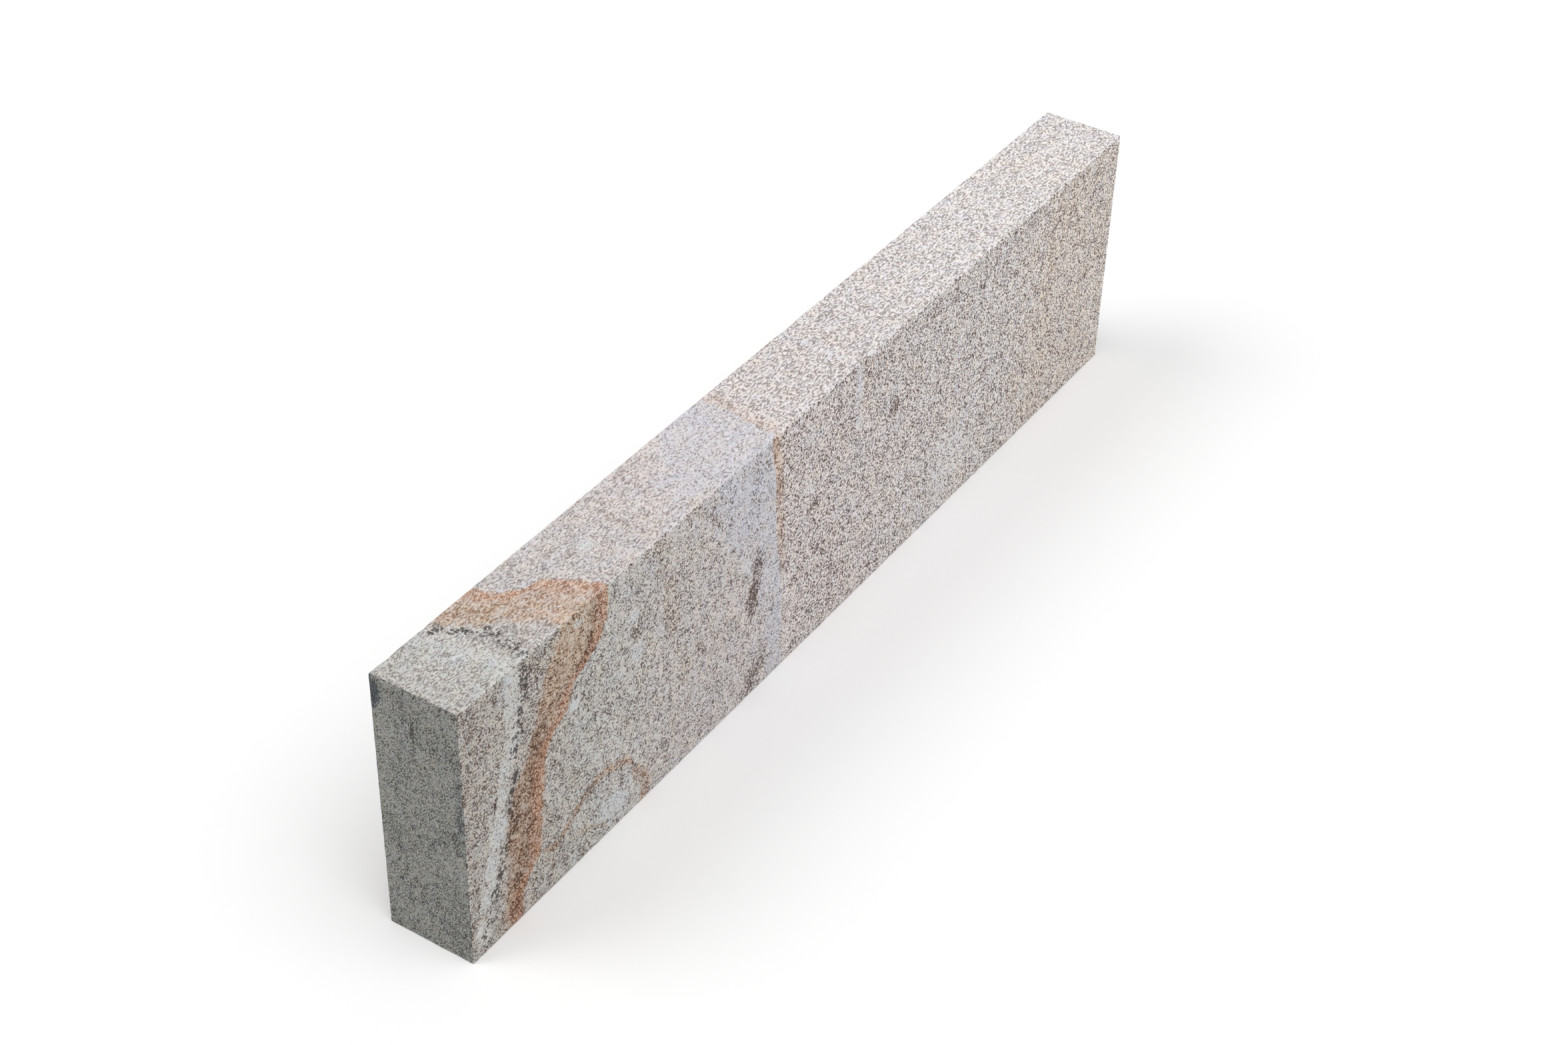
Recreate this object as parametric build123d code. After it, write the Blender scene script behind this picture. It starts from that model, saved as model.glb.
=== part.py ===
from build123d import *

import os
from math import sqrt
from typing import NamedTuple

# A lawn edging stone: one straight bar of gneiss, sawn to length and standing on its long narrow
# edge. Millimetres. X runs along the stone, Y through its thickness and Z up from its foot, with
# the origin at the middle of the foot.

# Driving dimensions
length = 1000.0
thickness = 80.0
height = 250.0
top_arris_radius = 2.5  # the two long upper arrises, rounded by the flame that roughens the faces
foot_arris_radius = 1.2  # the two long lower arrises, rubbed down after the saw
end_arris_chamfer = 0.8  # every arris round the two sawn ends


class Spall(NamedTuple):
    """A shell-shaped flake knocked out of a long upper arris."""

    place: float  # along the arris from the left end, as a share of the stone's length
    chord: float  # length of the broken stretch of arris
    depth: float  # below the crown of the rounded arris


# The flakes missing from the back upper arris, from the left end to the right
back_arris_spalls = [
    Spall(place=0.020, chord=13.0, depth=1.0),
    Spall(place=0.060, chord=10.0, depth=0.9),
    Spall(place=0.540, chord=38.0, depth=0.8),
    Spall(place=0.597, chord=11.0, depth=1.6),
    Spall(place=0.673, chord=12.0, depth=1.1),
    Spall(place=0.720, chord=14.0, depth=1.0),
]


def stone_section() -> Sketch:
    """The upright cross-section in the YZ plane, standing on the foot line."""
    outline = Plane.YZ * Rectangle(thickness, height, align=(Align.CENTER, Align.MIN))
    corners_by_level = outline.vertices().group_by(Axis.Z)
    outline = fillet(corners_by_level[-1], top_arris_radius)
    return fillet(outline.vertices().group_by(Axis.Z)[0], foot_arris_radius)


def sawn_bar() -> Part:
    """The section run along the whole stone, with the arrises of both sawn ends broken."""
    bar = extrude(stone_section(), amount=length / 2, both=True)
    ends = bar.faces().sort_by(Axis.X)
    return chamfer(ends[0].edges() + ends[-1].edges(), end_arris_chamfer)


def spall_cutter(spall: Spall) -> Part:
    """A ball that bites a flake of the given chord and depth out of the back upper arris."""
    ball_radius = (spall.chord**2 / 4 + spall.depth**2) / (2 * spall.depth)
    crown_inset = top_arris_radius * (1 - 1 / sqrt(2))
    ball_rise = (ball_radius - spall.depth) / sqrt(2)
    centre = (
        length * (spall.place - 0.5),
        thickness / 2 - crown_inset + ball_rise,
        height - crown_inset + ball_rise,
    )
    return Pos(*centre) * Sphere(ball_radius)


edging_stone = sawn_bar()
for back_spall in back_arris_spalls:
    edging_stone -= spall_cutter(back_spall)

os.makedirs("parts", exist_ok=True)
export_step(edging_stone, "parts/edging_stone.step")
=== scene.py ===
"""Dresses the lawn edging stone: a bar of veined gneiss with flame-roughened faces and sawn ends.

Lengths in the classes below are millimetres in the stone's own frame, where X runs along the stone,
Y through its thickness and Z up, unless a name or a docstring says metres.
"""
import logging
from collections.abc import Sequence
from dataclasses import dataclass
from enum import Enum
from math import pi, radians, sqrt

import bpy
import numpy as np
from mathutils import Matrix, Vector, noise


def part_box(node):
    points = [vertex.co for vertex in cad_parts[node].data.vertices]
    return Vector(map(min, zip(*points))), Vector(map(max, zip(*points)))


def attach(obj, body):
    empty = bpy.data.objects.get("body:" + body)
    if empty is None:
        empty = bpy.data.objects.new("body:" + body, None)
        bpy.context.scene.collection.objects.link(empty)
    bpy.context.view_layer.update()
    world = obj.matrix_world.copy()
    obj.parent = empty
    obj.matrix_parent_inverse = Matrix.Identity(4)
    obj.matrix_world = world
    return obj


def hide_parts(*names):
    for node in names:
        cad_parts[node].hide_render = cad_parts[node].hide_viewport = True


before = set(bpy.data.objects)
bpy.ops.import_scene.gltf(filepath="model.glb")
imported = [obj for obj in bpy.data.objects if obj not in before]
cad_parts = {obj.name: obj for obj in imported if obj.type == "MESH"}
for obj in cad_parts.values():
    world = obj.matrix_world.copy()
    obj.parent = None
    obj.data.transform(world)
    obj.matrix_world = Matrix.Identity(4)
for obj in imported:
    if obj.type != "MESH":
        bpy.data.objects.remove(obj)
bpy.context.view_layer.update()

log = logging.getLogger("edging_stone")

MM = 0.001
BAKE_MAP = "OFBake"

Colour = tuple[float, float, float]
Points = tuple[tuple[float, float], ...]

WHITE: Colour = (1.0, 1.0, 1.0)
PLACE_SOCKETS = {"Point": "Vector", "Along": "Float", "In": "Float", "Down": "Float"}


def from_screen(red: float, green: float, blue: float) -> Colour:
    """Turns a colour as a screen shows it, 0 to 255, into the linear one that shaders take.

    Args:
        red: Red as shown.
        green: Green as shown.
        blue: Blue as shown.

    Returns:
        The linear colour, 0 to 1.
    """
    shown = [value / 255 for value in (red, green, blue)]
    return tuple(v / 12.92 if v <= 0.04045 else ((v + 0.055) / 1.055) ** 2.4 for v in shown)


def put_in_scene(name: str, data: bpy.types.ID) -> bpy.types.Object:
    """Makes an object of a mesh, a lamp or a camera, and links it into the scene.

    Args:
        name: The object's name.
        data: What it shows.

    Returns:
        The object.
    """
    made = bpy.data.objects.new(name, data)
    bpy.context.collection.objects.link(made)
    return made


class Wire:
    """A value on its way between two shader nodes. Arithmetic on it adds Math nodes."""

    def __init__(self, graph: "Graph", socket: bpy.types.NodeSocket) -> None:
        """Keeps the socket that the value leaves by, and the graph that it is in."""
        self.graph = graph
        self.socket = socket

    def __add__(self, other: "Wire | float") -> "Wire":
        """Adds a wire or a number."""
        return self.graph.math("ADD", self, other)

    def __sub__(self, other: "Wire | float") -> "Wire":
        """Subtracts a wire or a number."""
        return self.graph.math("SUBTRACT", self, other)

    def __rsub__(self, other: float) -> "Wire":
        """Subtracts the wire from a number."""
        return self.graph.math("SUBTRACT", other, self)

    def __mul__(self, other: "Wire | float") -> "Wire":
        """Multiplies by a wire or a number."""
        return self.graph.math("MULTIPLY", self, other)

    def __truediv__(self, other: "Wire | float") -> "Wire":
        """Divides by a wire or a number."""
        return self.graph.math("DIVIDE", self, other)

    def __abs__(self) -> "Wire":
        """Drops the sign."""
        return self.graph.math("ABSOLUTE", self)


Value = Wire | float | Colour


class Graph:
    """A shader node tree, with short ways to add nodes to it and join them."""

    def __init__(self, tree: bpy.types.NodeTree) -> None:
        """Takes the tree to fill, and empties it."""
        self.tree = tree
        tree.nodes.clear()

    def show(self, kind: str, shader: bpy.types.Node) -> None:
        """Joins a shader to a new output node of a kind, Material or World."""
        out = self.add(f"Output{kind}")
        self.feed(out.inputs["Surface"], Wire(self, shader.outputs[0]))

    def seen(self) -> Wire:
        """Tells the rays that show a thing to the camera, also by mirror or through glass.

        Returns:
            1 for those rays, 0 for the others.
        """
        path = self.add("LightPath")
        rays = ("Is Camera Ray", "Is Glossy Ray", "Is Transmission Ray")
        camera, glossy, clear = (Wire(self, path.outputs[name]) for name in rays)
        return self.math("MAXIMUM", camera, self.math("MAXIMUM", glossy, clear))

    def add(self, kind: str, **settings: object) -> bpy.types.Node:
        """Adds a node.

        Args:
            kind: The node's type, after the words ShaderNode.
            **settings: Properties to set on it.

        Returns:
            The new node.
        """
        node = self.tree.nodes.new(f"ShaderNode{kind}")
        for name, value in settings.items():
            setattr(node, name, value)
        return node

    def feed(self, socket: bpy.types.NodeSocket, value: Value) -> None:
        """Links a wire to a socket, or sets the socket's own value.

        Args:
            socket: The input to feed.
            value: A wire, a number, or a colour or vector of three numbers.
        """
        if isinstance(value, Wire):
            self.tree.links.new(value.socket, socket)
        elif isinstance(value, tuple) and socket.type == "RGBA":
            socket.default_value = (*value, 1.0)
        else:
            socket.default_value = value

    def work(self, kind: str, operation: str, values: Sequence[Value]) -> bpy.types.Node:
        """Adds a node that does arithmetic.

        Args:
            kind: The node's type, after the words ShaderNode.
            operation: Blender's name for what it does.
            values: What it works on, in order.

        Returns:
            The node.
        """
        node = self.add(kind, operation=operation)
        for socket, value in zip(node.inputs, values):
            self.feed(socket, value)
        return node

    def math(self, operation: str, *values: Wire | float) -> Wire:
        """Works on numbers with a Math node."""
        return Wire(self, self.work("Math", operation, values).outputs[0])

    def vector(self, operation: str, *values: Value) -> Wire:
        """Works on vectors with a Vector Math node that gives a vector."""
        return Wire(self, self.work("VectorMath", operation, values).outputs[0])

    def mix(self, share: Wire | float, first: Value, second: Value, blend: str = "MIX") -> Wire:
        """Mixes two colours.

        Args:
            share: How much of the second colour is laid over the first, 0 to 1.
            first: The colour underneath.
            second: The colour on top.
            blend: Blender's name for the way they mix.

        Returns:
            The mixed colour.
        """
        node = self.add("Mix", data_type="RGBA", blend_type=blend)
        self.feed(node.inputs[0], share)
        self.feed(node.inputs[6], first)
        self.feed(node.inputs[7], second)
        return Wire(self, node.outputs[2])

    def times(self, first: Value, second: Value) -> Wire:
        """Multiplies two colours."""
        return self.mix(1.0, first, second, "MULTIPLY")

    def step(self, value: Wire, low: Wire | float, high: Wire | float) -> Wire:
        """Rises smoothly from 0 at low to 1 at high, or falls where low is the higher of the two."""
        node = self.add("MapRange", interpolation_type="SMOOTHSTEP")
        self.feed(node.inputs["Value"], value)
        self.feed(node.inputs["From Min"], low)
        self.feed(node.inputs["From Max"], high)
        return Wire(self, node.outputs[0])

    def noise(self, point: Wire, size: float, detail: float = 2.0, roughness: float = 0.5) -> Wire:
        """Cloudy noise about a mean of 0.

        Args:
            point: Where to read it.
            size: Width of its largest lumps, in the point's own units.
            detail: Octaves of finer lumps on top.
            roughness: How strong each finer octave is beside the one before.

        Returns:
            The noise, mostly from -0.25 to 0.25.
        """
        return Wire(self, self.noise_node(point, size, detail, roughness).outputs[0]) - 0.5

    def noise_node(self, point: Wire, size: float, detail: float, roughness: float) -> bpy.types.Node:
        """Adds the Noise Texture node that noise() describes, with its own mean of 0.5."""
        node = self.add("TexNoise")
        self.feed(node.inputs["Vector"], point)
        node.inputs["Scale"].default_value = 1 / size
        node.inputs["Detail"].default_value = detail
        node.inputs["Roughness"].default_value = roughness
        return node

    def curve(self, value: Wire, points: Points) -> Wire:
        """Follows a smooth line through a few points.

        Args:
            value: Where along the line.
            points: (place, height) pairs by rising place, in any unit.

        Returns:
            The line's height there. Past its ends it stays level.
        """
        start, end = points[0][0], points[-1][0]
        heights = [height for _, height in points]
        base, rise = min(heights), max(max(heights) - min(heights), 1.0)
        scaled = [((at - start) / (end - start), (height - base) / rise) for at, height in points]
        node = self.add("FloatCurve")
        node.mapping.use_clip = False
        node.mapping.extend = "HORIZONTAL"
        line = node.mapping.curves[0]
        line.points[0].location = scaled[0]
        line.points[-1].location = scaled[-1]
        for at, height in scaled[1:-1]:
            line.points.new(at, height)
        node.mapping.update()
        self.feed(node.inputs["Value"], (value - start) / (end - start))
        return Wire(self, node.outputs[0]) * rise + base

    def ramp(self, value: Wire, span: float, stops: Sequence[tuple[float, Colour]]) -> Wire:
        """Runs through a row of colours.

        Args:
            value: Where along the row.
            span: The place of the row's far end.
            stops: (place, colour) pairs by rising place.

        Returns:
            The colour there.
        """
        node = self.add("ValToRGB")
        elements = node.color_ramp.elements
        while len(elements) < len(stops):
            elements.new(1.0)
        for element, (at, colour) in zip(elements, stops):
            element.position = at / span
            element.color = (*colour, 1.0)
        self.feed(node.inputs[0], value / span)
        return Wire(self, node.outputs[0])

    def use(self, group: bpy.types.NodeTree, **values: Value) -> dict[str, Wire]:
        """Places a node group.

        Args:
            group: The group.
            **values: What goes into its inputs, by name.

        Returns:
            Its outputs, by name.
        """
        node = self.add("Group", node_tree=group)
        for name, value in values.items():
            self.feed(node.inputs[name], value)
        return {socket.name: Wire(self, socket) for socket in node.outputs}


class Group:
    """A shader node group in the making."""

    def __init__(self, name: str, inputs: dict[str, str], outputs: dict[str, str]) -> None:
        """Starts the group with its sockets.

        Args:
            name: The group's name.
            inputs: Kind of each input, by name, such as Float.
            outputs: Kind of each output, by name.
        """
        self.tree = bpy.data.node_groups.new(name, "ShaderNodeTree")
        for in_out, sockets in (("INPUT", inputs), ("OUTPUT", outputs)):
            for socket_name, kind in sockets.items():
                self.tree.interface.new_socket(
                    name=socket_name, in_out=in_out, socket_type=f"NodeSocket{kind}"
                )
        self.graph = Graph(self.tree)
        given = self.tree.nodes.new("NodeGroupInput")
        self.given = {socket.name: Wire(self.graph, socket) for socket in given.outputs}
        self.result = self.tree.nodes.new("NodeGroupOutput")

    def finish(self, **results: Wire) -> bpy.types.NodeTree:
        """Joins the results to the group's outputs, by name, and returns the tree."""
        for name, wire in results.items():
            self.graph.feed(self.result.inputs[name], wire)
        return self.tree


@dataclass(frozen=True)
class StoneSize:
    """The bar's outer size."""

    length: float
    thickness: float
    height: float

    @classmethod
    def of_node(cls, node: str) -> "StoneSize":
        """Measures a CAD node, by its name."""
        low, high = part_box(node)
        return cls(*((high - low) / MM))


class RockReading:
    """A place in the rock, with the noise that its layers and veins are worked out from.

    Attributes:
        graph: Where to add the nodes.
        place: The outputs of the place group.
        ragged: Noise that frays edges.
        patches: Noise as wide as a vein.
        clouds: Noise that is wider than the veins.
        clumps: Noise as wide as a few grains.
        along: How far along from the left end the place is, as a frayed edge sees it.
        off_top: 0 on the top face, 1 below its arrises.
    """

    def __init__(self, graph: Graph, place: dict[str, Wire]) -> None:
        """Reads the noise at a place.

        Args:
            graph: Where to add the nodes.
            place: The outputs of the place group.
        """
        point = place["Point"]
        self.graph = graph
        self.place = place
        self.ragged = graph.noise(point, 6.0, 3.0, 0.6)
        self.patches = graph.noise(point, 17.0)
        self.clouds = graph.noise(point, 48.0)
        self.clumps = graph.noise(point, 6.5, 1.0)
        self.along = place["Along"] + self.ragged * 11.0
        self.off_top = graph.step(place["Down"], 0.5, 5.0)

    def strength(self, on_top: float, below: float = 1.0) -> Wire:
        """Goes from one strength on the top face to another below it."""
        return self.off_top * (below - on_top) + on_top


@dataclass(frozen=True)
class Seam:
    """A sheet that cuts right through the stone, given by the lines it draws on two faces.

    Attributes:
        front: (down from the top, along from the left end) pairs on the front face.
        top: (in from the back, along from the left end) pairs on the top face.
    """

    front: Points
    top: Points = ((0, 0), (80, 0))

    def along(self, rock: RockReading) -> Wire:
        """Finds how far along from the left end the sheet lies at a place's depth and height."""
        across = rock.graph.curve(rock.place["In"], self.top) - self.top[-1][1]
        return rock.graph.curve(rock.place["Down"], self.front) + across


@dataclass(frozen=True)
class Patch:
    """A rounded spot of the rock that has more flecks than the rest, or fewer.

    Attributes:
        middle: Its middle, as (along from the left end, in from the back, down from the top).
        reach: Half its length, its width and its height.
        strength: How far it stands out, 1 for plainly.
    """

    middle: tuple[float, float, float]
    reach: tuple[float, float, float]
    strength: float = 1.0

    def mask(self, rock: RockReading) -> Wire:
        """Builds the spot's mask.

        Args:
            rock: The place.

        Returns:
            Its strength in the spot, fading to 0 round it.
        """
        graph = rock.graph
        offset = graph.vector("SUBTRACT", rock.place["Point"], self.middle)
        length = graph.work("VectorMath", "LENGTH", [graph.vector("DIVIDE", offset, self.reach)])
        far = Wire(graph, length.outputs["Value"]) + rock.ragged * 2.0
        return graph.step(far, 1.2, 0.5) * self.strength


@dataclass(frozen=True)
class Band:
    """A faint streak of the rock that follows a seam.

    Attributes:
        seam: The seam.
        width: Half the streak's width.
        heights: Where it starts and ends, down from the top.
        stain: What it multiplies the rock's colour by.
        flecks: What it adds to the share of flecks.
        offset: How far past the seam its middle lies, along the stone.
    """

    seam: Seam
    width: float
    heights: tuple[float, float]
    stain: Colour
    flecks: float = 0.0
    offset: float = 0.0

    def mask(self, rock: RockReading) -> Wire:
        """Builds the streak's mask.

        Args:
            rock: The place.

        Returns:
            1 along the streak, 0 beside it.
        """
        graph, place, ragged = rock.graph, rock.place, rock.ragged
        start, end = self.heights
        down = place["Down"] + ragged * 30.0
        beside = place["Along"] + ragged * (4.0 + self.width) - self.seam.along(rock) - self.offset
        line = graph.step(abs(beside), self.width * 1.4, self.width * 0.5)
        line = line * graph.step(down, start - 5.0, start + 5.0) * graph.step(down, end + 8.0, end - 8.0)
        return line * graph.step(ragged, -0.25, 0.15)


@dataclass(frozen=True)
class Thread:
    """A thin rusty line that runs along the stone.

    Attributes:
        line: (along from the left end, down from the top) pairs.
        width: Half its width.
        stain: What it multiplies the rock's colour by.
    """

    line: Points
    width: float
    stain: Colour

    def mask(self, rock: RockReading) -> Wire:
        """Builds the line's mask.

        Args:
            rock: The place.

        Returns:
            1 along the line, 0 beside it.
        """
        graph, along, ragged = rock.graph, rock.place["Along"], rock.ragged
        start, end = self.line[0][0], self.line[-1][0]
        off = rock.place["Down"] + ragged * 11.0 - graph.curve(along, self.line)
        thread = graph.step(abs(off), self.width * 2.2, self.width * 0.3)
        ends = graph.step(along, start - 2.0, start + 3.0) * graph.step(along, end + 3.0, end - 3.0)
        return thread * ends * graph.step(ragged, -0.34, 0.06)


@dataclass(frozen=True)
class RockPlace:
    """Places in the stone, counted in millimetres from its left end, its back and its top."""

    size: StoneSize

    def group(self) -> bpy.types.NodeTree:
        """Makes the group.

        Returns:
            A group with the place as a vector (along, in, down) and as its three parts.
        """
        made = Group("Rock place", {}, PLACE_SOCKETS)
        graph = made.graph
        held = Wire(graph, graph.add("TexCoord").outputs["Object"])
        turned = graph.vector("MULTIPLY", held, (1 / MM, -1 / MM, -1 / MM))
        corner = (self.size.length / 2, self.size.thickness / 2, self.size.height)
        point = graph.vector("ADD", turned, corner)
        parts = graph.add("SeparateXYZ")
        graph.feed(parts.inputs[0], point)
        along, inward, down = (Wire(graph, socket) for socket in parts.outputs)
        return made.finish(Point=point, Along=along, In=inward, Down=down)


LILAC_LINE = Seam(
    front=((0, 531), (60, 535), (250, 542)),
    top=((0, 529), (40, 531), (80, 533)),
)


@dataclass(frozen=True)
class RockZones:
    """The layers and veins of the rock: where its minerals lie, and how they are stained.

    The seams are edges and middles of veins, and the patches are spots with more flecks than the
    rest, with fewer, or bluer. Ground is the colour between the flecks and flecking the share of
    flecks, by place along the stone. Lean is how far the layers lean over, by height. A colour takes
    the ground's place, and a wash or a stain multiplies it.
    """

    size: StoneSize
    quartz: Seam = Seam(
        front=((0, 60), (22, 60), (55, 57), (82, 51), (124, 37), (164, 29), (204, 20), (227, 14), (250, 9)),
        top=((0, 44), (20, 47), (36, 53), (64, 58), (80, 60)),
    )
    mica: Seam = Seam(
        front=(
            (0, 76), (11, 75), (44, 71), (89, 61), (100, 62), (120, 54), (142, 55), (164, 45), (178, 40),
            (195, 32), (215, 24), (250, 18),
        ),
        top=((0, 60), (13, 65), (33, 76), (44, 84), (62, 82), (80, 76)),
    )
    rust_left: Seam = Seam(
        front=(
            (0, 118), (22, 107), (44, 93), (67, 86), (93, 75), (111, 61), (156, 47), (200, 44),
            (225, 38), (250, 36),
        ),
        top=((0, 64), (22, 75), (40, 91), (55, 104), (80, 118)),
    )
    rust_right: Seam = Seam(
        front=(
            (0, 177), (24, 177), (44, 167), (58, 147), (67, 132), (80, 127), (96, 108), (108, 98),
            (133, 94), (178, 89), (198, 87), (222, 66), (250, 62),
        ),
        top=((0, 116), (7, 118), (22, 124), (32, 136), (38, 152), (51, 163), (64, 170), (80, 177)),
    )
    rust_core: Seam = Seam(
        front=(
            (0, 168), (30, 162), (44, 153), (62, 124), (76, 96), (96, 87), (140, 79), (175, 75),
            (195, 63), (250, 53),
        ),
        top=((0, 84), (13, 88), (30, 112), (45, 143), (64, 160), (80, 168)),
    )
    wedge_right: Seam = Seam(
        front=((0, 406), (4, 399), (33, 404), (110, 410), (155, 417), (200, 420), (250, 421)),
        top=((0, 413), (30, 411), (52, 408), (80, 406)),
    )
    wedge_left: Seam = Seam(
        front=((0, 318), (40, 325), (90, 362), (140, 388), (180, 393), (250, 398)),
        top=((0, 350), (20, 336), (40, 296), (60, 290), (80, 318)),
    )
    bands: tuple[Band, ...] = (
        Band(LILAC_LINE, width=6.0, heights=(-40, 70), stain=(0.86, 0.91, 0.97), flecks=-0.4),
        Band(LILAC_LINE, width=7.0, heights=(-40, 72), stain=(1.0, 0.97, 0.92), offset=11.0),
        Band(
            Seam(
                front=((0, 243), (33, 251), (65, 256), (95, 262), (120, 270), (150, 277), (250, 292)),
                top=((0, 240), (40, 247), (80, 243)),
            ),
            width=9.0, heights=(-40, 165), stain=(0.95, 0.91, 0.83), flecks=0.08,
        ),
        Band(
            Seam(front=((0, 293), (15, 303), (30, 317), (45, 330)), top=((0, 285), (80, 293))),
            width=6.0, heights=(0, 38), stain=(0.94, 0.88, 0.82), flecks=0.2,
        ),
        Band(
            Seam(front=((120, 290), (145, 299), (162, 309), (250, 340))),
            width=4.0, heights=(132, 162), stain=(0.94, 0.87, 0.83), flecks=0.3,
        ),
        Band(
            Seam(front=((95, 40), (104, 38), (116, 35), (130, 32))),
            width=1.7, heights=(104, 124), stain=(0.55, 0.38, 0.34), flecks=1.0,
        ),
        Band(
            Seam(front=((196, 204), (205, 207), (214, 213), (224, 219), (236, 222), (250, 219))),
            width=7.0, heights=(208, 300), stain=(0.86, 0.61, 0.45), flecks=0.1,
        ),
        Band(
            Seam(front=((203, 93), (212, 98), (222, 100), (236, 98))),
            width=2.2, heights=(208, 232), stain=(0.86, 0.68, 0.54), flecks=0.2,
        ),
        Band(
            Seam(front=((0, 910), (30, 900), (90, 872), (130, 864), (250, 860)), top=((0, 890), (80, 910))),
            width=24.0, heights=(-60, 300), stain=(1.0, 0.96, 0.905),
        ),
    )
    threads: tuple[Thread, ...] = (
        Thread(
            line=(
                (89, 198), (95, 207), (105, 210), (113, 206), (122, 200), (135, 192), (147, 185), (160, 183),
                (175, 185), (187, 189), (200, 195), (206, 207),
            ),
            width=3.0, stain=(0.82, 0.59, 0.43),
        ),
        Thread(
            line=((117, 219), (140, 222), (158, 231), (172, 245)),
            width=2.0, stain=(0.96, 0.85, 0.70),
        ),
    )
    dark_patches: tuple[Patch, ...] = (
        Patch((86, 62, 18), (19, 22, 36), 0.8),
        Patch((382, 80, 118), (10, 20, 20), 1.0),
        Patch((375, 80, 146), (9, 20, 20), 1.2),
        Patch((391, 80, 222), (9, 20, 18), 0.6),
        Patch((377, 80, 232), (14, 20, 16), 0.8),
        Patch((595, 80, 80), (9, 9, 10), 0.9),
        Patch((467, 80, 107), (8, 9, 9), 0.7),
        Patch((469, 80, 153), (9, 9, 7), 0.5),
        Patch((214, 80, 71), (9, 60, 13), 0.7),
        Patch((580, 20, 0), (7, 7, 8), 0.9),
        Patch((560, 71, 0), (6, 5, 6), 0.9),
        Patch((33, 3, 0), (3, 4, 5), 1.3),
        Patch((47, 34, 0), (3, 4, 5), 1.3),
        Patch((0, 37, 38), (4, 2.5, 12), 1.2),
        Patch((0, 71, 128), (4, 5, 14), 0.7),
    )
    pale_patches: tuple[Patch, ...] = (
        Patch((142, 76, 14), (7, 12, 7), 0.8),
        Patch((133, 80, 88), (6, 12, 7)),
        Patch((209, 80, 53), (8, 14, 7)),
        Patch((214, 80, 90), (11, 14, 10), 0.8),
        Patch((180, 80, 226), (24, 16, 16), 0.8),
        Patch((364, 80, 106), (7, 12, 8)),
        Patch((471, 80, 36), (12, 12, 6), 0.8),
        Patch((458, 80, 84), (9, 12, 7), 0.8),
        Patch((700, 80, 200), (36, 30, 46), 0.45),
        Patch((205, 40, 0), (8, 6, 10), 0.9),
    )
    end_patches: tuple[Patch, ...] = (
        Patch((0, 2, 16), (5, 8, 16), 1.0),
        Patch((0, 77, 95), (4, 5, 46), 0.25),
    )
    lean: Points = ((0, 0), (80, 12), (160, 34), (250, 50))
    ground: tuple[tuple[float, Colour], ...] = (
        (0, from_screen(202, 198, 191)),
        (75, from_screen(206, 202, 196)),
        (150, from_screen(212, 212, 207)),
        (235, from_screen(221, 216, 213)),
        (320, from_screen(225, 219, 217)),
        (440, from_screen(233, 225, 223)),
        (640, from_screen(237, 231, 229)),
        (830, from_screen(240, 235, 233)),
        (1000, from_screen(241, 236, 233)),
    )
    flecking: Points = ((0, 0.52), (180, 0.46), (330, 0.44), (450, 0.5), (1000, 0.5))
    warm_wash: Colour = (1.0, 0.965, 0.925)
    # Painted light: brightens the top face towards the right end.
    far_top_painted_light: Colour = (1.04, 1.045, 1.055)
    # Paler colour of the upper arrises: partly wear, partly a painted highlight.
    worn_highlight_colour: Colour = from_screen(243, 240, 238)
    quartz_colour: Colour = from_screen(217, 218, 216)
    lilac_colour: Colour = from_screen(221, 220, 226)
    pale_colour: Colour = from_screen(222, 225, 229)
    blue_colour: Colour = from_screen(122, 138, 156)
    rust_high: Colour = (0.94, 0.67, 0.47)
    rust_low: Colour = (0.81, 0.54, 0.37)
    rust_dark: Colour = (0.56, 0.31, 0.16)
    rust_bright: Colour = (0.91, 0.48, 0.29)
    wedge_orange: Colour = (0.86, 0.63, 0.45)

    def group(self) -> bpy.types.NodeTree:
        """Makes the group.

        Returns:
            A group with the colour between the flecks, the stain over everything, the share of
            flecks, where they are coarser, and the mask of the black mica.
        """
        made = Group(
            "Rock zones",
            PLACE_SOCKETS,
            {"Matrix": "Color", "Stain": "Color", "Share": "Float", "Coarse": "Float", "Mica": "Float"},
        )
        graph, place = made.graph, made.given
        rock = RockReading(graph, place)
        layers = self.layers(rock)
        worn_and_highlit = self.worn_and_highlit_arrises(rock)
        dark = self.total(rock, self.dark_patches)
        pale = self.total(rock, self.pale_patches)
        blue = self.total(rock, self.end_patches)
        quartz, mica = self.quartz_vein(rock)
        rust, mottled, core, rim = self.rust_vein(rock, pale)
        wedge, wedge_rust, past_wedge = self.lilac_wedge(rock)

        matrix = self.colour_between(rock, layers)
        for mask, colour in (
            # Upper arrises: partly rubbed stone, partly a painted highlight.
            (worn_and_highlit * 0.6, self.worn_highlight_colour),
            (quartz * 0.8, self.quartz_colour),
            (wedge * rock.strength(0.6, 0.9), self.lilac_colour),
            (pale * 0.6, self.pale_colour),
            (blue * 0.8, self.blue_colour),
        ):
            matrix = graph.mix(mask, matrix, colour)

        low = graph.step(place["Down"] + rock.patches * 60.0, 42.0, 88.0)
        stain = graph.mix(mottled, WHITE, graph.mix(low, self.rust_high, self.rust_low))
        stain = graph.mix(core, stain, self.rust_dark)
        stain = graph.mix(rim, stain, self.rust_bright)
        stain = graph.mix(wedge_rust, stain, self.wedge_orange)

        greys = [(at, (share, share, share)) for at, share in self.flecking]
        share = graph.ramp(place["Along"], self.size.length, greys)
        for mask, flecks in (
            (rock.patches, 0.25), (rock.clumps, 0.8), (layers, 0.45), (rust, -0.03), (core, 0.1),
            (wedge_rust, 0.1), (quartz, -0.3), (wedge, -0.12), (worn_and_highlit, -0.25), (pale, -0.25),
            (blue, 0.5), (dark, 0.35),
        ):
            share = share + mask * flecks

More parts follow.
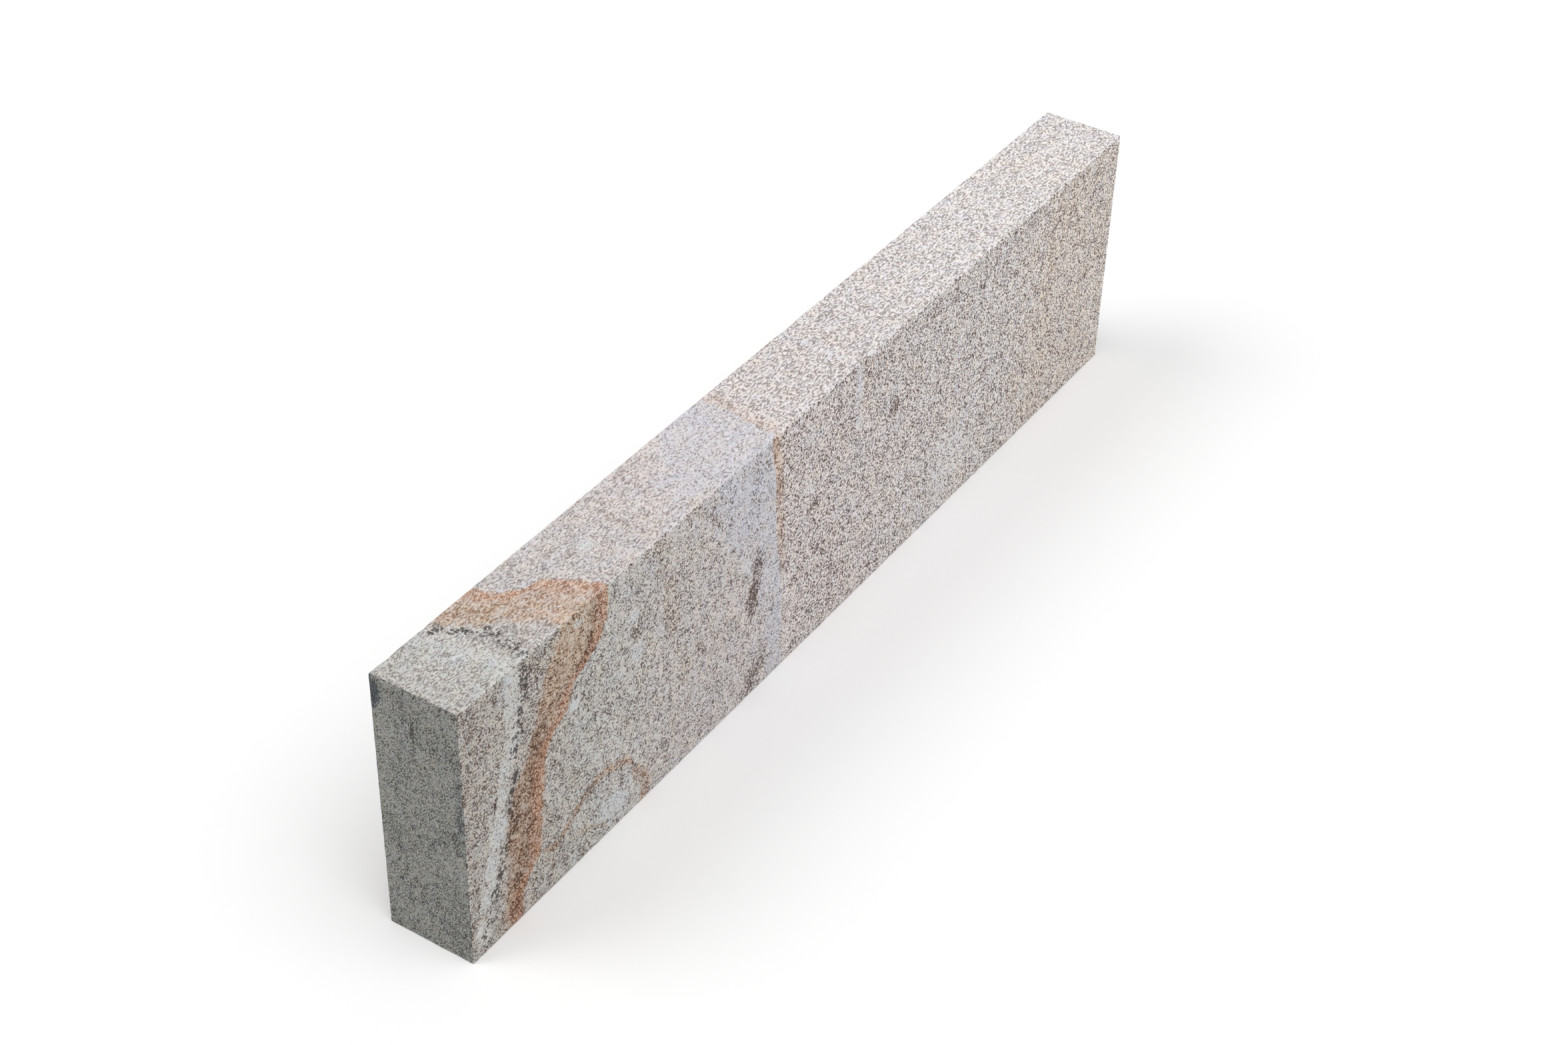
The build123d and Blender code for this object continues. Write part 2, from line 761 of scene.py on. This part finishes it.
        for band in self.bands:
            mask = band.mask(rock) * rock.strength(0.5)
            stain = graph.mix(mask, stain, graph.times(stain, band.stain))
            share = share + mask * band.flecks
        for thread in self.threads:
            stain = graph.mix(thread.mask(rock), stain, thread.stain)
        coarse = graph.step(past_wedge, -6.0, 20.0)
        return made.finish(Matrix=matrix, Stain=stain, Share=share, Coarse=coarse, Mica=mica)

    def layers(self, rock: RockReading) -> Wire:
        """Builds the faint layers that lean through the rock left of the wedge.

        Args:
            rock: The place.

        Returns:
            Noise that runs along the layers, about a mean of 0.
        """
        graph, place = rock.graph, rock.place
        shift = graph.add("CombineXYZ")
        graph.feed(shift.inputs[0], graph.curve(place["Down"], self.lean))
        upright = graph.vector("SUBTRACT", place["Point"], Wire(graph, shift.outputs[0]))
        drawn = graph.vector("MULTIPLY", upright, (1.0, 0.3, 0.14))
        return graph.noise(drawn, 8.0) * graph.step(place["Along"] + rock.clouds * 200.0, 470.0, 330.0)

    def worn_and_highlit_arrises(self, rock: RockReading) -> Wire:
        """Builds the mask of the paler upper arrises: partly rubbed stone, partly a painted highlight along
        their crowns.

        Args:
            rock: The place.

        Returns:
            1 on the crown of the front and back upper arrises, 0 off them.
        """
        half = self.size.thickness / 2
        on_top = rock.graph.step(rock.place["Down"] + rock.ragged * 3.0, 2.0, 0.4)
        by_face = abs(rock.place["In"] - half) + rock.ragged * 3.0
        return on_top * rock.graph.step(by_face, half - 2.0, half - 0.4)

    def quartz_vein(self, rock: RockReading) -> tuple[Wire, Wire]:
        """Builds the masks of the quartz vein.

        Args:
            rock: The place.

        Returns:
            The quartz, and the flakes of black mica that lie along a line beside it.
        """
        graph = rock.graph
        off = abs(rock.along - self.quartz.along(rock)) - rock.patches * 30.0
        vein = graph.step(off, 11.5, 6.0) * graph.step(rock.patches + rock.clumps * 0.7, -0.16, 0.04)
        vein = vein * graph.step(rock.place["Along"], 2.0, 8.0) * rock.strength(0.65)
        specks = graph.noise(rock.place["Point"], 2.3, 1.0)
        line = graph.step(abs(rock.along + rock.ragged * 14.0 - self.mica.along(rock)), 9.0, 2.5)
        return vein, graph.step(specks + rock.clumps * 0.6 + line * 0.3, 0.27, 0.38) * line

    def rust_vein(self, rock: RockReading, pale: Wire) -> tuple[Wire, Wire, Wire, Wire]:
        """Builds the masks of the rust vein.

        Args:
            rock: The place.
            pale: The mask of the pale spots, which hold little rust.

        Returns:
            The whole vein, its mottled stain, its dark core and its bright right edge.
        """
        graph, along = rock.graph, rock.along
        seams = (self.rust_left, self.rust_right, self.rust_core)
        left, right, middle = (seam.along(rock) for seam in seams)
        rust = graph.step(along + rock.patches * 14.0, left - 5.0, left + 7.0)
        rust = rust * graph.step(along, right + 2.5, right - 3.5)
        rust = rust * graph.step(rock.place["Along"], 6.0, 16.0) * (1.0 - pale * 0.7)
        mottled = rust * (rock.clumps * 2.0 + 0.9) * rock.strength(0.8)
        core = graph.step(abs(along - middle + rock.patches * 16.0), 15.0, 2.0)
        rim = graph.step(abs(along - right + 7.0), 13.0, 2.0)
        return rust, mottled, core * mottled * rock.strength(0.25), rim * mottled * rock.strength(0.6)

    def lilac_wedge(self, rock: RockReading) -> tuple[Wire, Wire, Wire]:
        """Builds the masks of the lilac wedge.

        Args:
            rock: The place.

        Returns:
            The wedge, the rust along its right edge, and how far past that edge the place lies.
        """
        graph, place = rock.graph, rock.place
        left, right = self.wedge_left.along(rock), self.wedge_right.along(rock)
        inside = graph.step(place["Along"] + rock.ragged * 6.0, right + 1.2, right - 1.2)
        wedge = inside * graph.step(rock.along + rock.patches * 50.0, left - 30.0, left + 26.0)
        past = place["Along"] + rock.ragged * 16.0 - right
        rust = (1.0 - inside) * graph.step(past, 15.0, 6.0)
        rust = rust * graph.step(place["Down"] + rock.clouds * 120.0, 190.0, 20.0)
        return wedge, rust * rock.strength(0.35, 0.9) * (rock.clumps * 1.6 + 0.85), past

    def colour_between(self, rock: RockReading, layers: Wire) -> Wire:
        """Colours the rock between its flecks, where no vein runs, and brightens the top face towards the
        right end with painted light.

        Args:
            rock: The place.
            layers: The noise of the leaning layers.

        Returns:
            The colour.
        """
        graph, along = rock.graph, rock.place["Along"]
        shifted = along + rock.clouds * 90.0 + (1.0 - rock.off_top) * 110.0
        colour = graph.ramp(shifted, self.size.length, self.ground)
        far = graph.step(along + rock.patches * 200.0, 760.0, 900.0) * rock.off_top
        colour = graph.times(colour, graph.mix(far, WHITE, self.warm_wash))
        colour = graph.vector("MULTIPLY", colour, 1.0 - layers * 0.15)
        # Painted light: the top face grows brighter towards the right end.
        far_top_light = graph.ramp(along, self.size.length, ((480, WHITE), (1000, self.far_top_painted_light)))
        return graph.times(colour, graph.mix(rock.off_top, far_top_light, WHITE))

    @staticmethod
    def total(rock: RockReading, patches: Sequence[Patch]) -> Wire:
        """Adds up the masks of several patches.

        Args:
            rock: The place.
            patches: The patches.

        Returns:
            The sum of their strengths here.
        """
        total = patches[0].mask(rock)
        for patch in patches[1:]:
            total = total + patch.mask(rock)
        return total


@dataclass(frozen=True)
class RockGrain:
    """The grain: squiggles of dark mica among grains of feldspar that run from bluish to cream.

    Attributes:
        fleck: Width of the dark squiggles.
        coarse: Their width where the rock is coarser.
        stretch: How much longer along the stone than across it a squiggle is.
        bend: How far the squiggles wander.
        wander: Width of the squiggles' bends.
        cloud: Width of the patches of one tint.
        bluish: What the coolest grains multiply the colour by.
        cream: What the warmest grains multiply it by.
        pink: What the reddest grains multiply it by.
        green: What the greenest grains multiply it by.
        swing: How strongly the tints vary.
        shade: How much darker the low grains are than the high ones.
        cover: Height of the grain's noise at which a fleck begins, and at which it is whole.
        soak: Height at which a grain starts to take a stain, and at which it takes all of it.
        depth: Depth of the surface for a noise of 1.
    """

    fleck: float = 1.2
    coarse: float = 1.45
    stretch: float = 1.5
    bend: float = 2.6
    wander: float = 4.0
    cloud: float = 12.0
    bluish: Colour = (0.93, 0.985, 1.085)
    cream: Colour = (1.07, 1.01, 0.915)
    pink: Colour = (1.03, 0.96, 1.01)
    green: Colour = (0.97, 1.04, 0.99)
    swing: float = 1.4
    shade: float = 0.65
    cover: tuple[float, float] = (0.12, 0.26)
    soak: tuple[float, float] = (-0.2, 0.05)
    depth: float = 2.4

    def group(self) -> bpy.types.NodeTree:
        """Makes the group.

        Returns:
            A group with the cover of the flecks, how far a grain has soaked up a stain, the tint of
            the grains between the flecks, and the height of the surface in millimetres.
        """
        made = Group(
            "Rock grain",
            {"Point": "Vector", "Share": "Float", "Coarse": "Float"},
            {"Flecks": "Float", "Soak": "Float", "Tint": "Color", "Height": "Float"},
        )
        graph, point = made.graph, made.given["Point"]
        wander = Wire(graph, graph.noise_node(point, self.wander, 0.0, 0.5).outputs["Color"])
        swing = graph.vector("SUBTRACT", wander, (0.5, 0.5, 0.5))
        bent = graph.vector("ADD", point, graph.vector("MULTIPLY", swing, (self.bend,) * 3))
        drawn = graph.vector("MULTIPLY", bent, (1 / self.stretch, 1.0, 1.0))
        fine = graph.noise(drawn, self.fleck, 2.0, 0.5)
        grains = fine + (graph.noise(drawn, self.coarse, 1.0, 0.5) - fine) * made.given["Coarse"]
        flecks = graph.step(grains + made.given["Share"] * 0.3, *self.cover)
        warmth = graph.noise(point, self.cloud, 3.0, 0.6) * self.swing + 0.5
        redness = graph.noise(point, self.wander, 1.0, 0.5) * self.swing + 0.5
        warm_tint = graph.mix(warmth, self.bluish, self.cream)
        tint = graph.times(warm_tint, graph.mix(redness, self.green, self.pink))
        return made.finish(
            Flecks=flecks,
            Soak=graph.step(grains, *self.soak),
            Tint=graph.vector("MULTIPLY", tint, 1.0 - grains * self.shade),
            Height=grains * -self.depth,
        )


@dataclass(frozen=True)
class RockGroups:
    """The node groups that the finishes share."""

    place: bpy.types.NodeTree
    zones: bpy.types.NodeTree
    grain: bpy.types.NodeTree

    @classmethod
    def for_size(cls, size: StoneSize) -> "RockGroups":
        """Makes the groups for a stone of the given size."""
        return cls(RockPlace(size).group(), RockZones(size).group(), RockGrain().group())


MICA_COLOUR = from_screen(62, 56, 58)
MICA_COVER = 0.85
SOAK_LEAST = 0.35


class Working(Enum):
    """The ways the faces of the stone are worked."""

    FLAMED = "flamed_gneiss"
    BRUSHED = "brushed_gneiss"
    # Sawn faces; their darkening is partly the sawn stone's colour, partly painted shade.
    SAWN = "sawn_gneiss"


@dataclass(frozen=True)
class StoneFinish:
    """The look of the rock as one way of working it leaves it.

    Attributes:
        working: The way.
        veil: Colour that the working lays over the rock, as a multiplier. On the sawn faces it is partly
            their own darker colour and partly painted shade.
        fleck_colour: Colour of the dark flecks.
        fleck_depth: How far the flecks cover the rock, 0 to 1.
        drawn: How much longer along the stone the grain looks.
        roughness: Roughness between the flecks, and on them.
        gloss: Strength of the mirror-like part of the light it throws back.
        relief: How deep the bumps are beside the grain's own heights.
    """

    working: Working
    veil: Colour
    fleck_colour: Colour
    fleck_depth: float
    drawn: float
    roughness: tuple[float, float]
    gloss: float
    relief: float

    def material(self, groups: RockGroups) -> bpy.types.Material:
        """Makes the material.

        Args:
            groups: The rock's node groups.

        Returns:
            The material.
        """
        material = bpy.data.materials.new(self.working.value)
        material.use_nodes = True
        graph = Graph(material.node_tree)
        place = graph.use(groups.place)
        zones = graph.use(groups.zones, **place)
        drawn = graph.vector("MULTIPLY", place["Point"], (1 / self.drawn, 1.0, 1.0))
        grain = graph.use(groups.grain, Point=drawn, Share=zones["Share"], Coarse=zones["Coarse"])

        colour = graph.times(zones["Matrix"], grain["Tint"])
        colour = graph.mix(grain["Flecks"] * self.fleck_depth, colour, self.fleck_colour)
        colour = graph.mix(zones["Mica"] * MICA_COVER, colour, MICA_COLOUR)
        stain = graph.mix(grain["Soak"] * (1.0 - SOAK_LEAST) + SOAK_LEAST, WHITE, zones["Stain"])
        # The veil: the working's colour, and on the sawn faces painted shade as well.
        colour = graph.times(graph.times(colour, stain), self.veil)

        matt, shiny = self.roughness
        surface = graph.add("BsdfPrincipled")
        graph.feed(surface.inputs["Base Color"], colour)
        graph.feed(surface.inputs["Roughness"], grain["Flecks"] * (shiny - matt) + matt)
        surface.inputs["Specular IOR Level"].default_value = self.gloss
        bump = graph.add("Bump")
        bump.inputs["Distance"].default_value = MM
        graph.feed(bump.inputs["Height"], grain["Height"] * self.relief)
        graph.feed(surface.inputs["Normal"], Wire(graph, bump.outputs[0]))
        graph.show("Material", surface)
        return material


FLAMED = StoneFinish(
    working=Working.FLAMED,
    veil=WHITE,
    fleck_colour=from_screen(87, 62, 54),
    fleck_depth=0.95,
    drawn=1.0,
    roughness=(0.88, 0.62),
    gloss=0.18,
    relief=1.0,
)
BRUSHED = StoneFinish(
    working=Working.BRUSHED,
    veil=(0.875, 0.873, 0.88),
    fleck_colour=from_screen(96, 76, 70),
    fleck_depth=0.62,
    drawn=1.5,
    roughness=(0.85, 0.65),
    gloss=0.18,
    relief=0.8,
)
SAWN = StoneFinish(
    working=Working.SAWN,
    # Partly the sawn faces' darker colour, partly painted shade that darkens the ends.
    veil=(0.485, 0.508, 0.504),
    fleck_colour=from_screen(40, 36, 34),
    fleck_depth=0.95,
    drawn=1.0,
    roughness=(0.62, 0.5),
    gloss=0.3,
    relief=0.12,
)


@dataclass(frozen=True)
class Spall:
    """A shell-shaped flake knocked out of the back upper arris.

    Attributes:
        place: Along the arris from the left end, as a share of the stone's length.
        chord: Length of the broken stretch of arris.
        depth: Depth below the crown of the rounded arris.
    """

    place: float
    chord: float
    depth: float


class Side(Enum):
    """The six faces, as (axis that the face looks along, which end of it, way of working it)."""

    LEFT_END = (0, 0, Working.SAWN)
    RIGHT_END = (0, -1, Working.SAWN)
    FRONT = (1, 0, Working.FLAMED)
    BACK = (1, -1, Working.FLAMED)
    FOOT = (2, 0, Working.SAWN)
    TOP = (2, -1, Working.BRUSHED)


@dataclass
class EdgingStone:
    """The stone: a bar with eased arrises, knocked flakes and a flame-roughened skin.

    Attributes:
        node: The CAD node that it stands for.
        size: Outer size.
        top_arris: Radius of the two long upper arrises.
        foot_arris: Radius of the two long lower arrises.
        end_arris: Radius of the arrises round the sawn ends.
        spalls: The flakes missing from the back upper arris.
        grid: Spacing of the mesh on the open faces.
        eased: Grid lines beside each arris, by distance from it.
        relief: Depth of the skin's hollows.
        lump: Width of the skin's hollows.
        chart_gap: Space between the sides on the sheet that their finish is baked on.
    """

    node: str
    size: StoneSize
    top_arris: float = 2.5
    foot_arris: float = 1.2
    end_arris: float = 0.8
    spalls: tuple[Spall, ...] = (
        Spall(place=0.020, chord=13.0, depth=1.0),
        Spall(place=0.060, chord=10.0, depth=0.9),
        Spall(place=0.540, chord=38.0, depth=0.8),
        Spall(place=0.597, chord=11.0, depth=1.6),
        Spall(place=0.673, chord=12.0, depth=1.1),
        Spall(place=0.720, chord=14.0, depth=1.0),
    )
    grid: float = 3.4
    eased: tuple[float, ...] = (0.0, 0.5, 1.1, 1.8, 2.6, 4.0)
    relief: float = 0.35
    lump: float = 14.0
    chart_gap: float = 6.0

    def ticks(self, low: float, high: float) -> np.ndarray:
        """Lays grid lines between two opposite faces, closer together beside the arrises.

        Args:
            low: Place of the lower face.
            high: Place of the upper face.

        Returns:
            The lines' places, rising.
        """
        near = np.array(self.eased)
        count = round((high - low - 2 * near[-1]) / self.grid)
        inner = np.linspace(low + near[-1], high - near[-1], count + 1)
        return np.concatenate([low + near[:-1], inner, (high - near[:-1])[::-1]])

    def distance(self, points: np.ndarray) -> np.ndarray:
        """Measures how far points lie outside the eased and chipped bar.

        Args:
            points: Places, one row each.

        Returns:
            Distances, negative inside.
        """
        x, y, z = points.T
        half = self.size.height / 2
        arris = np.where(z > half, self.top_arris, self.foot_arris)
        beside = np.stack([np.abs(y) - self.size.thickness / 2, np.abs(z - half) - half])
        section = self.rounded(*(beside + arris)) - arris
        ends = np.abs(x) - self.size.length / 2
        bar = self.rounded(section + self.end_arris, ends + self.end_arris) - self.end_arris
        for spall in self.spalls:
            radius = (spall.chord**2 / 4 + spall.depth**2) / (2 * spall.depth)
            rise = (radius - spall.depth) / sqrt(2) - self.top_arris * (1 - 1 / sqrt(2))
            centre = (
                self.size.length * (spall.place - 0.5),
                self.size.thickness / 2 + rise,
                self.size.height + rise,
            )
            bar = np.maximum(bar, radius - np.linalg.norm(points - centre, axis=1))
        return bar

    @staticmethod
    def rounded(first: np.ndarray, second: np.ndarray) -> np.ndarray:
        """Joins the distances to two faces so that the corner between them is round."""
        outside = np.hypot(np.maximum(first, 0), np.maximum(second, 0))
        return outside + np.minimum(np.maximum(first, second), 0)

    def slope(self, points: np.ndarray) -> np.ndarray:
        """Finds the outward direction at points near the skin, as unit vectors."""
        reach = 0.05
        steps = [
            self.distance(points + offset) - self.distance(points - offset)
            for offset in np.eye(3) * reach
        ]
        found = np.stack(steps, axis=1)
        return found / np.maximum(np.linalg.norm(found, axis=1, keepdims=True), 1e-9)

    def skin(self, points: np.ndarray) -> np.ndarray:
        """Pulls points from the faces of the plain box on to the roughened skin.

        Args:
            points: Places on the box's faces, one row each.

        Returns:
            The places on the skin.
        """
        pulls = 4
        for _ in range(pulls):
            points = points - self.slope(points) * self.distance(points)[:, None]
        lumps = [noise.fractal(Vector(point) / self.lump, 1.0, 2.0, 3) for point in points]
        hollow = np.clip(0.5 + 0.5 * np.array(lumps), 0.0, 1.0) * self.relief
        return points - self.slope(points) * hollow[:, None]

    def build(self) -> bpy.types.Object:
        """Makes the mesh, with a face group for each way of working it.

        Returns:
            The stone as an object in metres.
        """
        half_length, half_thickness = self.size.length / 2, self.size.thickness / 2
        lines = [
            self.ticks(-half_length, half_length),
            self.ticks(-half_thickness, half_thickness),
            self.ticks(0.0, self.size.height),
        ]
        counts = [len(places) for places in lines]
        outer = np.ones(counts, bool)
        outer[1:-1, 1:-1, 1:-1] = False
        number = np.full(counts, -1)
        number[outer] = np.arange(outer.sum())
        points = np.stack(np.meshgrid(*lines, indexing="ij"), axis=-1)[outer]

        quads, workings = [], []
        for side in Side:
            axis, end, working = side.value
            sheet = np.take(number, end, axis=axis)
            ring = [sheet[:-1, :-1], sheet[1:, :-1], sheet[1:, 1:], sheet[:-1, 1:]]
            faces = np.stack(ring, axis=-1).reshape(-1, 4)
            outward = (end == -1) != (axis == 1)
            quads.append(faces if outward else faces[:, ::-1])
            workings.append(np.full(len(faces), list(Working).index(working)))
        faces = np.concatenate(quads)
        charts = np.concatenate([self.chart(side, points[quad]) for side, quad in zip(Side, quads)])

        mesh = bpy.data.meshes.new("edging_stone_skin")
        mesh.from_pydata((self.skin(points) * MM).tolist(), [], faces.tolist())
        mesh.polygons.foreach_set("material_index", np.concatenate(workings).astype(np.int32))
        mesh.polygons.foreach_set("use_smooth", np.ones(len(faces), bool))
        mesh.uv_layers.new(name=BAKE_MAP).data.foreach_set("uv", charts.ravel())
        mesh.update()
        return put_in_scene("edging_stone_dressed", mesh)

    def chart(self, side: Side, places: np.ndarray) -> np.ndarray:
        """Unfolds a side on to the sheet that holds all six, for baking its finish.

        Args:
            side: The side.
            places: Places on the faces of the plain box, in any array of (x, y, z).

        Returns:
            The matching array of (across, up) on the sheet, 0 to 1.
        """
        axis, end, _ = side.value
        length, thickness, height = self.size.length, self.size.thickness, self.size.height
        x, y, z = np.moveaxis(places + (length / 2, thickness / 2, 0.0), -1, 0)
        tall, slim = height + self.chart_gap, thickness + self.chart_gap
        rows = {Side.FRONT: 0.0, Side.BACK: tall, Side.TOP: 2 * tall, Side.FOOT: 2 * tall + slim}
        row = rows.get(side, 2 * tall + 2 * slim)
        if axis == 0:
            across, up = (z, y) if end == 0 else (z + tall, thickness - y)
        elif axis == 1:
            across, up = (x, z) if end == 0 else (length - x, z)
        else:
            across, up = (x, thickness - y) if end == 0 else (x, y)
        margin = self.chart_gap / 2
        sheet = (length + self.chart_gap, 2 * tall + 3 * slim)
        return (np.stack([across, up + row], axis=-1) + margin) / sheet

    def dress(self, stone: bpy.types.Object) -> None:
        """Gives the stone its finishes, in the order of the ways of working.

        Args:
            stone: The object that build() made.
        """
        groups = RockGroups.for_size(self.size)
        for finish in (FLAMED, BRUSHED, SAWN):
            stone.data.materials.append(finish.material(groups))

    def place(self) -> bpy.types.Object:
        """Builds and dresses the stone and sets it in the frame, in place of its CAD node."""
        stone = self.build()
        self.dress(stone)
        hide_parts(self.node)
        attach(stone, "root")
        return stone


@dataclass(frozen=True)
class StudioFloor:
    """A plain white floor.

    Attributes:
        reach: Half its side, in metres.
        shown: How white it looks.
        bounce: How much light it throws back on to the stone.
    """

    reach: float = 9.0
    shown: float = 0.87
    bounce: float = 0.9

    def place(self) -> bpy.types.Object:
        """Lays the floor."""
        r = self.reach
        mesh = bpy.data.meshes.new("studio_floor")
        mesh.from_pydata([(-r, -r, 0), (r, -r, 0), (r, r, 0), (-r, r, 0)], [], [(0, 1, 2, 3)])
        mesh.materials.append(self.material())
        floor = put_in_scene("studio_floor", mesh)
        return floor

    def material(self) -> bpy.types.Material:
        """Makes the floor's material, with one white to look at and one for the light it throws back.

        Returns:
            The material.
        """
        material = bpy.data.materials.new("studio_floor_white")
        material.use_nodes = True
        graph = Graph(material.node_tree)
        mixed = graph.add("MixShader")
        graph.feed(mixed.inputs[0], graph.seen())
        for socket, grey in zip(list(mixed.inputs)[1:], (self.bounce, self.shown)):
            matt = graph.add("BsdfDiffuse")
            graph.feed(matt.inputs["Color"], (grey, grey, grey))
            graph.feed(socket, Wire(graph, matt.outputs[0]))
        graph.show("Material", mixed)
        return material


@dataclass(frozen=True)
class SoftLamp:
    """A broad lamp, far enough off to light the whole floor evenly.

    Attributes:
        name: Its name.
        towards: Direction from the stone to the lamp.
        level: How bright a white surface that faces it looks in its light alone.
        breadth: How wide it looks from the stone, in degrees, which softens its shadows.
        distance: How far off its marker hangs, in metres.
    """

    name: str
    towards: tuple[float, float, float]
    level: float
    breadth: float
    distance: float = 3.0

    def hang(self) -> bpy.types.Object:
        """Adds the lamp to the scene."""
        lamp = bpy.data.lights.new(self.name, "SUN")
        lamp.energy = self.level * pi
        lamp.angle = radians(self.breadth)
        holder = put_in_scene(self.name, lamp)
        holder.location = Vector(self.towards).normalized() * self.distance
        holder.rotation_euler = Vector(self.towards).to_track_quat("Z", "Y").to_euler()
        return holder


@dataclass(frozen=True)
class Studio:
    """The light: soft lamps, and a white surround that fills the shadows.

    Attributes:
        lamps: The lamps.
        surround: How bright a white surface looks in the light from all round alone.
    """

    lamps: tuple[SoftLamp, ...] = (
        SoftLamp("overhead_lamp", towards=(-0.09, -0.36, 1.0), level=0.545, breadth=50.0),
        SoftLamp("back_left_lamp", towards=(-0.5, 0.55, 1.0), level=0.275, breadth=30.0),
    )
    surround: float = 0.44

    def light(self) -> None:
        """Hangs the lamps and sets the surround, which looks white to the camera."""
        for lamp in self.lamps:
            lamp.hang()
        world = bpy.data.worlds.new("studio_surround")
        bpy.context.scene.world = world
        world.use_nodes = True
        graph = Graph(world.node_tree)
        back = graph.add("Background")
        graph.feed(back.inputs["Color"], WHITE)
        graph.feed(back.inputs["Strength"], graph.seen() * (1.0 - self.surround) + self.surround)
        graph.show("World", back)


@dataclass(frozen=True)
class PhotoCamera:
    """The photograph's viewpoint.

    Attributes:
        place: Where the camera stands, in metres.
        aim: The point in the middle of its picture, in metres.
        roll: Turn about its line of sight, in degrees.
        lens: Focal length.
        sensor: Width of the sensor.
    """

    place: tuple[float, float, float] = (-1.53309, -0.94521, 1.46826)
    aim: tuple[float, float, float] = (-0.04903, -0.02022, 0.125)
    roll: float = 1.819
    lens: float = 60.366
    sensor: float = 36.0

    def stand(self) -> bpy.types.Object:
        """Sets up the camera and makes it the scene's own."""
        lens = bpy.data.cameras.new("photo_camera")
        lens.lens = self.lens
        lens.sensor_width = self.sensor
        lens.sensor_fit = "HORIZONTAL"
        camera = put_in_scene("photo_camera", lens)
        place = Vector(self.place)
        sight = (Vector(self.aim) - place).to_track_quat("-Z", "Y").to_matrix().to_4x4()
        camera.matrix_world = Matrix.Translation(place) @ sight @ Matrix.Rotation(radians(self.roll), 4, "Z")
        bpy.context.scene.camera = camera
        return camera


def main() -> None:
    """Builds the stone, the floor, the light and the camera, and notes the sizes."""
    logging.basicConfig(level=logging.INFO, format="%(name)s: %(message)s")
    bpy.context.scene.view_settings.view_transform = "Standard"
    node = "edging_stone"
    stone = EdgingStone(node, StoneSize.of_node(node)).place()
    log.info("%s: %d faces, stands for %s", stone.name, len(stone.data.polygons), node)
    floor = StudioFloor().place()
    log.info("%s: stage", floor.name)
    Studio().light()
    camera = PhotoCamera().stand()
    log.info("%s: lens %.1f mm", camera.name, camera.data.lens)


if __name__ == "__main__":
    main()
